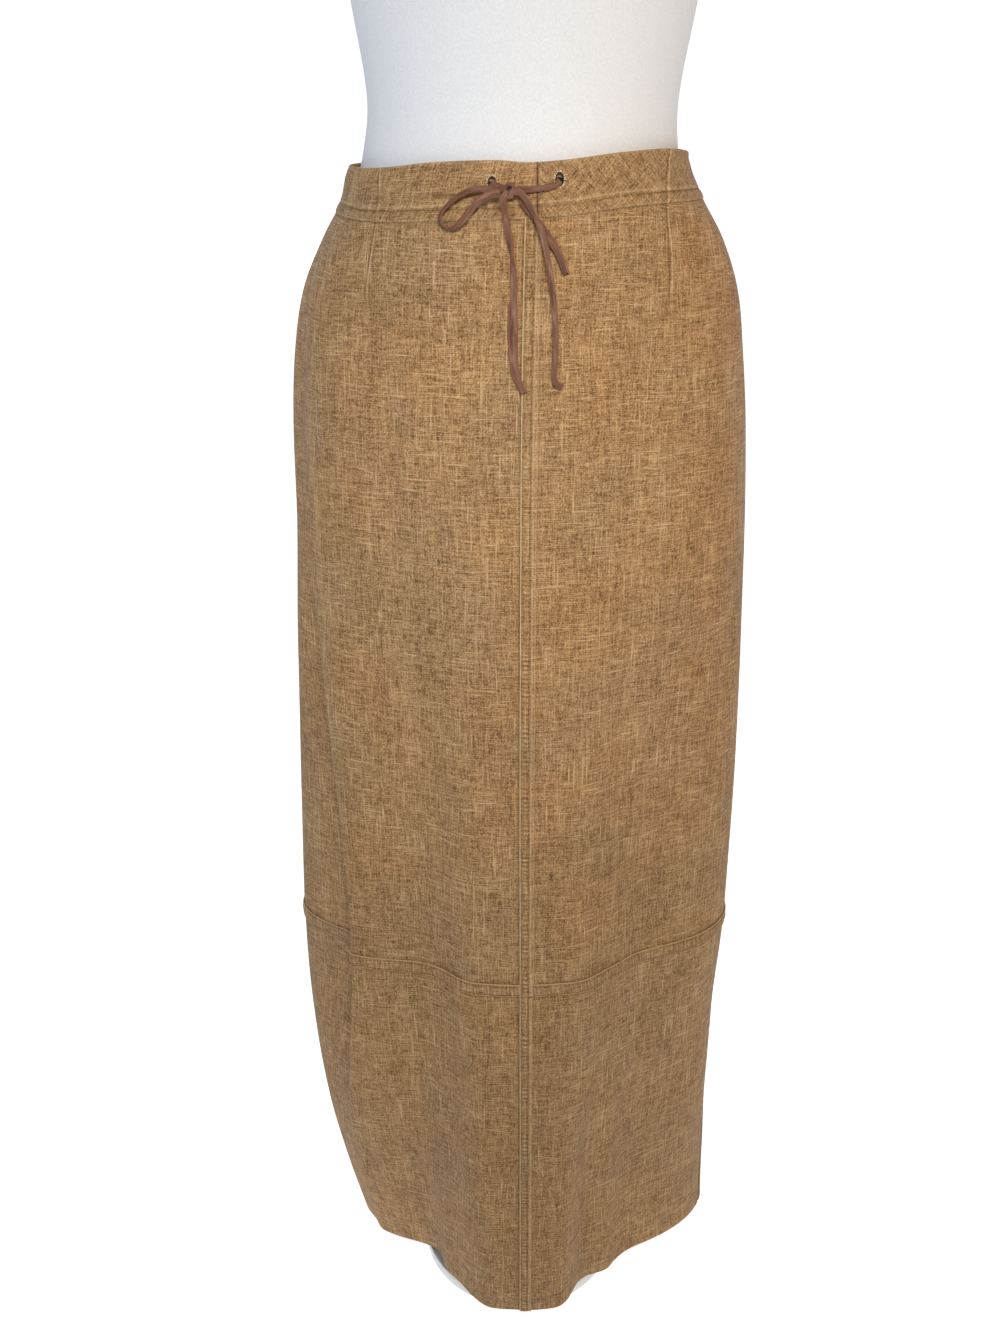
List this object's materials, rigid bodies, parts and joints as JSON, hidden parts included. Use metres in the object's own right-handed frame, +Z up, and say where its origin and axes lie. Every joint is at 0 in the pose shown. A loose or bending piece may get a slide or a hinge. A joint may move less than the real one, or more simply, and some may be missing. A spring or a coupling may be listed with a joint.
{
  "type": "maxi skirt on a dress form",
  "caption": "Long straight tan skirt with a drawstring waist, felled seams and side vents, worn by a limbless white dress form on a pole and round base.",
  "frame": {"origin": "middle of the round base's underside, on the floor", "axes": "+Z up along the pole, the skirt's front faces -Y, +X is to the right seen from the front"},
  "size_m": [0.3789, 0.2631, 1.5343],
  "materials": {
    "cloth": "slubbed linen-like weave, matt",
    "lace": "flat suede lace",
    "jersey": "stretched white jersey",
    "stand": "white powder coat"
  },
  "bodies": {
    "root": {"waistband_front_left": "cloth", "waistband_front_right": "cloth", "waistband_back_left": "cloth", "waistband_back_right": "cloth", "front_left_upper": "cloth", "front_right_upper": "cloth", "back_left_upper": "cloth", "back_right_upper": "cloth", "front_left_lower": "cloth", "front_right_lower": "cloth", "back_left_lower": "cloth", "back_right_lower": "cloth", "centre_front_fell_upper": "cloth", "centre_front_fell_lower": "cloth", "yoke_fell_front_left": "cloth", "yoke_fell_front_right": "cloth", "yoke_fell_back_left": "cloth", "yoke_fell_back_right": "cloth", "lace_stub_left": "lace", "lace_stub_right": "lace", "lace_loop_left": "lace", "lace_loop_right": "lace", "lace_tail_left": "lace", "lace_tail_right": "lace", "lace_knot": "lace", "form_torso": "jersey", "form_neck_cap": "jersey", "form_pole": "stand", "form_base": "stand"}
  },
  "joints": []
}
